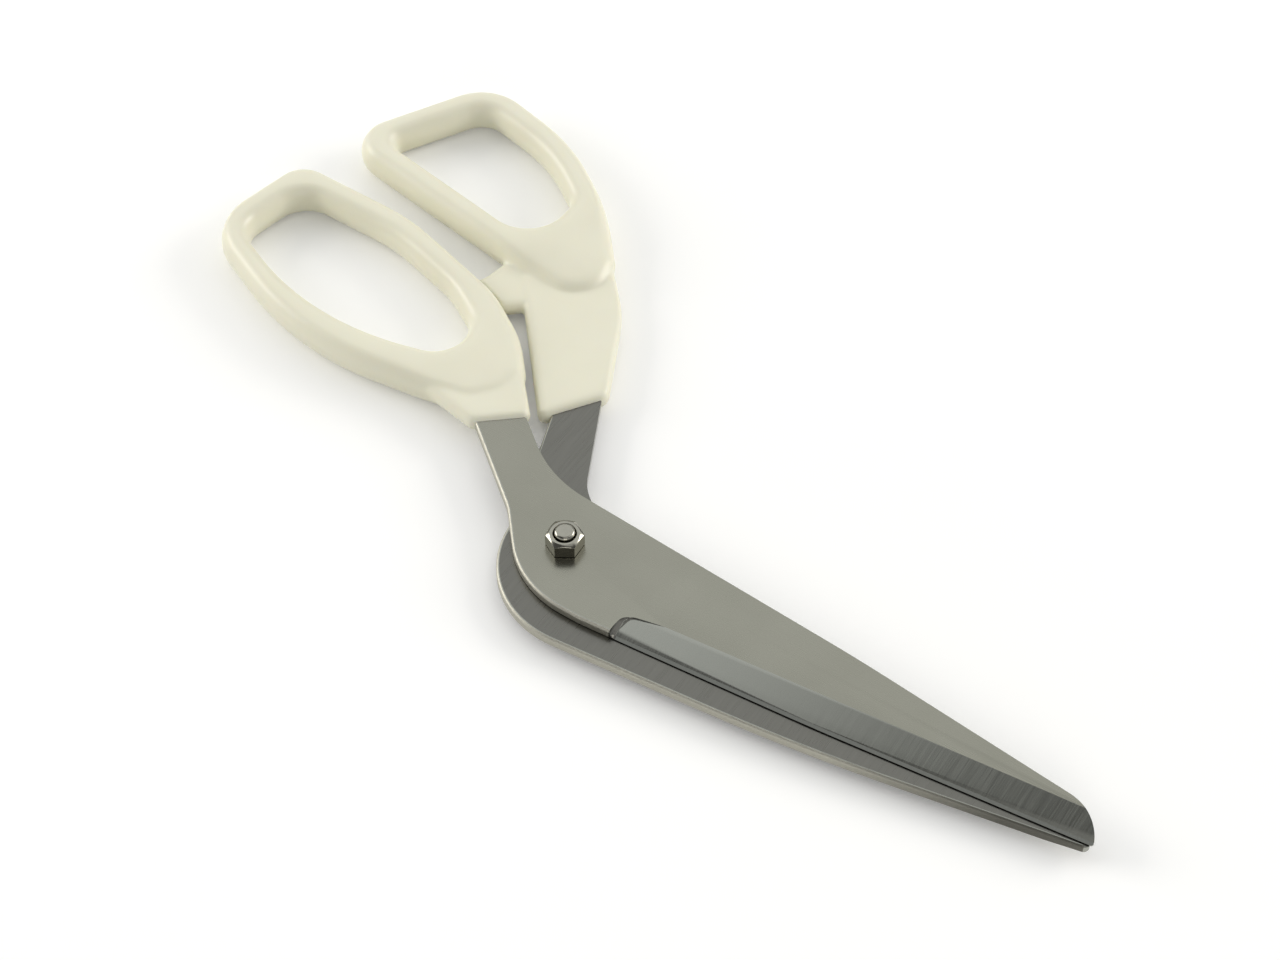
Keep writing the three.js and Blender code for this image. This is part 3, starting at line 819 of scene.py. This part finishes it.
def makeNut():
    bottom, top = nut["bottom"], nut["bottom"] + nut["height"]
    acrossCorners = nut["width"] / 2 / math.cos(math.pi / 6) * 2
    hexagon = turnedDisc(acrossCorners, bottom, top, steps=6)
    flare = 2 * nut["height"] / math.tan(math.radians(nut["chamferAngle"]))
    combine(hexagon, turnedDisc(nut["topDiameter"] + flare, bottom, top, nut["topDiameter"]), "INTERSECT")
    combine(hexagon, turnedDisc(nut["bore"], bottom - cutPast, top + cutPast), "DIFFERENCE")
    sink = nut["sinkDepth"]
    mouth = turnedDisc(nut["bore"], top - sink, top + sink, nut["countersink"] + 2 * sink)
    combine(hexagon, mouth, "DIFFERENCE")
    # a new cone has its first corner on +Y
    hexagon.data.transform(Matrix.Rotation(math.radians(nut["turn"] - 90), 4, "Z"))
    return hexagon


def makeWasher():
    bottom = washer["bottom"]
    disc = turnedDisc(washer["diameter"], bottom, bottom + washer["thickness"])
    combine(disc, turnedDisc(washer["bore"], bottom - cutPast, bottom + cutPast), "DIFFERENCE")
    for vertex in disc.data.vertices:
        vertex.co.z += washer["bow"] * mm * (vertex.co.x / (washer["diameter"] / 2 * mm)) ** 2
    return disc


finishPivotPiece(makeBolt(), "carriage_bolt", "pivot_bolt", 0)
finishPivotPiece(makeNut(), "hexagon_nut", "pivot_nut", nut["edgeBreak"])
finishPivotPiece(makeWasher(), "bowed_washer", "spring_washer", washer["edgeBreak"])
print("pivot made")

# Floor

floorValues = {
    "size": 6,              # m
    "drop": 0.1,            # mm under the part
    "deep": "f5f5f3",
    "pale": "fbfbfa",
    "mottleSize": 250,
    "bounceColor": "ecece8",
    "glow": 0.12,
}


def makeFloorPaper():
    # matt white paper: what is seen of it is a little brighter than what it throws onto the part
    material, tree, place = newMaterial("matt_white_paper")
    mottle = addNode(tree, "ShaderNodeTexNoise", {
        "Vector": place, "Scale": 1 / (floorValues["mottleSize"] * mm), "Detail": 3.0,
    })
    tone = addNode(tree, "ShaderNodeMix", {
        "Factor": mottle.outputs["Fac"],
        "A": linearColor(floorValues["deep"]), "B": linearColor(floorValues["pale"]),
    }, data_type="RGBA")
    rays = addNode(tree, "ShaderNodeLightPath")
    seen = rays.outputs["Is Camera Ray"]
    for kind in ("Is Glossy Ray", "Is Transmission Ray"):
        either = addNode(tree, "ShaderNodeMath", {0: seen, 1: rays.outputs[kind]}, operation="MAXIMUM")
        seen = either.outputs["Value"]
    shade = addNode(tree, "ShaderNodeMix", {
        "Factor": seen, "A": linearColor(floorValues["bounceColor"]), "B": tone.outputs["Result"],
    }, data_type="RGBA")
    glow = addNode(tree, "ShaderNodeMath", {0: seen, 1: floorValues["glow"]}, operation="MULTIPLY")
    shader = addNode(tree, "ShaderNodeBsdfPrincipled", {
        "Base Color": shade.outputs["Result"], "Roughness": 0.9, "Specular IOR Level": 0.2,
        "Emission Color": (1, 1, 1, 1), "Emission Strength": glow.outputs["Value"],
    })
    addNode(tree, "ShaderNodeOutputMaterial", {"Surface": shader.outputs["BSDF"]})
    return material


bpy.ops.object.select_all(action="DESELECT")
bpy.ops.mesh.primitive_plane_add(size=floorValues["size"], location=(0, 0, -floorValues["drop"] * mm))
floor = bpy.context.object
floor.name = "floor"
floor.data.materials.append(makeFloorPaper())

# Light: pale walls that are dimmer behind the object, a dark ceiling, and three soft windows

studio = {
    # height, from 0 at the horizon to 1 overhead, and color
    "walls": [
        (0.0, (0.50, 0.51, 0.52, 1)), (0.3, (0.50, 0.51, 0.52, 1)), (0.5, (0.29, 0.30, 0.31, 1)),
        (0.66, (0.13, 0.13, 0.13, 1)), (1.0, (0.11, 0.11, 0.11, 1)),
    ],
    # middle of each region, the cosines of the angle from it between which it fades in, and its
    # strength outside and inside: the largest window is high behind on the left and has a sill
    "regions": {
        "backWall": ((-0.5618, 0.8273, 0.0), (0.1, 0.8), (1.0, 0.45)),
        "leftWindow": ((-0.83, 0.40, 0.39), (0.59, 0.665), (0.0, 1.0)),
        "rightWindow": ((0.383, 0.663, 0.643), (0.81, 0.9), (0.0, 0.9)),
        "roofWindow": ((0.25, -0.05, 0.967), (0.905, 0.955), (0.0, 0.5)),
    },
    "sill": (0.15, 0.45),
    "leftColor": (0.97, 0.99, 1.0, 1),
}


def lightStudio(tree):
    tree.nodes.clear()
    direction = addNode(tree, "ShaderNodeTexCoord").outputs["Generated"]
    height = addNode(tree, "ShaderNodeSeparateXYZ", {"Vector": direction}).outputs["Z"]
    walls = addNode(tree, "ShaderNodeValToRGB", {"Fac": height})
    ramp = walls.color_ramp.elements
    for position, color in studio["walls"]:
        point = ramp[0] if position == 0 else ramp[-1] if position == 1 else ramp.new(position)
        point.position, point.color = position, color
    fades = {}
    for name, (middle, fade, strength) in studio["regions"].items():
        facing = addNode(tree, "ShaderNodeVectorMath", {0: direction, 1: middle}, operation="DOT_PRODUCT")
        fades[name] = addNode(tree, "ShaderNodeMapRange", {
            "Value": facing.outputs["Value"], "From Min": fade[0], "From Max": fade[1],
            "To Min": strength[0], "To Max": strength[1],
        }, interpolation_type="SMOOTHSTEP").outputs["Result"]
    sill = addNode(tree, "ShaderNodeMapRange", {
        "Value": height, "From Min": studio["sill"][0], "From Max": studio["sill"][1],
    }, interpolation_type="SMOOTHSTEP")
    pane = addNode(tree, "ShaderNodeMath", {
        0: fades["leftWindow"], 1: sill.outputs["Result"],
    }, operation="MULTIPLY")
    light = addNode(tree, "ShaderNodeMix", {
        "Factor": 1.0, "A": walls.outputs["Color"], "B": fades["backWall"],
    }, data_type="RGBA", blend_type="MULTIPLY")
    light = addNode(tree, "ShaderNodeMix", {
        "Factor": pane.outputs["Value"], "A": light.outputs["Result"], "B": studio["leftColor"],
    }, data_type="RGBA")
    for name in ("rightWindow", "roofWindow"):
        light = addNode(tree, "ShaderNodeMix", {
            "Factor": fades[name], "A": light.outputs["Result"], "B": (1.0, 1.0, 1.0, 1),
        }, data_type="RGBA", blend_type="ADD")
    backing = addNode(tree, "ShaderNodeBackground", {"Color": light.outputs["Result"], "Strength": 1.0})
    addNode(tree, "ShaderNodeOutputWorld", {"Surface": backing.outputs["Background"]})


scene = bpy.context.scene
scene.world = scene.world or bpy.data.worlds.new("studio")
scene.world.use_nodes = True
lightStudio(scene.world.node_tree)

lamps = {
    # name: azimuth from which it shines, elevation, distance, width, height, watts
    "softBoxLeft": (286, 22, 1.4, 0.9, 0.6, 9.5),
    "softBoxRight": (142, 24, 1.6, 0.9, 0.6, 10.0),
    "softBoxFront": (40, 20, 1.6, 0.9, 0.5, 3.5),
}
lampColor = (1.0, 0.965, 0.92)
for name, (azimuth, elevation, distance, width, height, watts) in lamps.items():
    a, e = math.radians(azimuth), math.radians(elevation)
    direction = Vector((math.sin(a) * math.cos(e), -math.cos(a) * math.cos(e), math.sin(e)))
    data = bpy.data.lights.new(name, "AREA")
    data.shape = "RECTANGLE"
    data.size, data.size_y, data.energy = width, height, watts
    data.color = lampColor
    lamp = bpy.data.objects.new(name, data)
    scene.collection.objects.link(lamp)
    lamp.location = direction * distance
    lamp.rotation_mode = "QUATERNION"
    lamp.rotation_quaternion = (-direction).to_track_quat("-Z", "Y")

# Camera, with its location, lens and sensor in mm

cameraValues = {
    "location": (328.0, -444.5, 720.1),
    "forward": (-0.3536, 0.5206, -0.7771),
    "right": (0.8273, 0.5618, 0.0),
    "up": (-0.4366, 0.6429, 0.6293),
    "lens": 87.84,
    "sensor": 36,
}
cameraData = bpy.data.cameras.new("camera")
cameraData.lens = cameraValues["lens"]
cameraData.sensor_width = cameraValues["sensor"]
cameraData.clip_start, cameraData.clip_end = 0.05, 50
camera = bpy.data.objects.new("camera", cameraData)
scene.collection.objects.link(camera)
right, up, forward = (Vector(cameraValues[k]) for k in ("right", "up", "forward"))
turn = Matrix((right, up, -forward)).transposed().to_4x4()
camera.matrix_world = Matrix.Translation(Vector(cameraValues["location"]) * mm) @ turn
bpy.context.scene.camera = camera
bpy.context.scene.view_settings.view_transform = "Standard"
print("stage made")
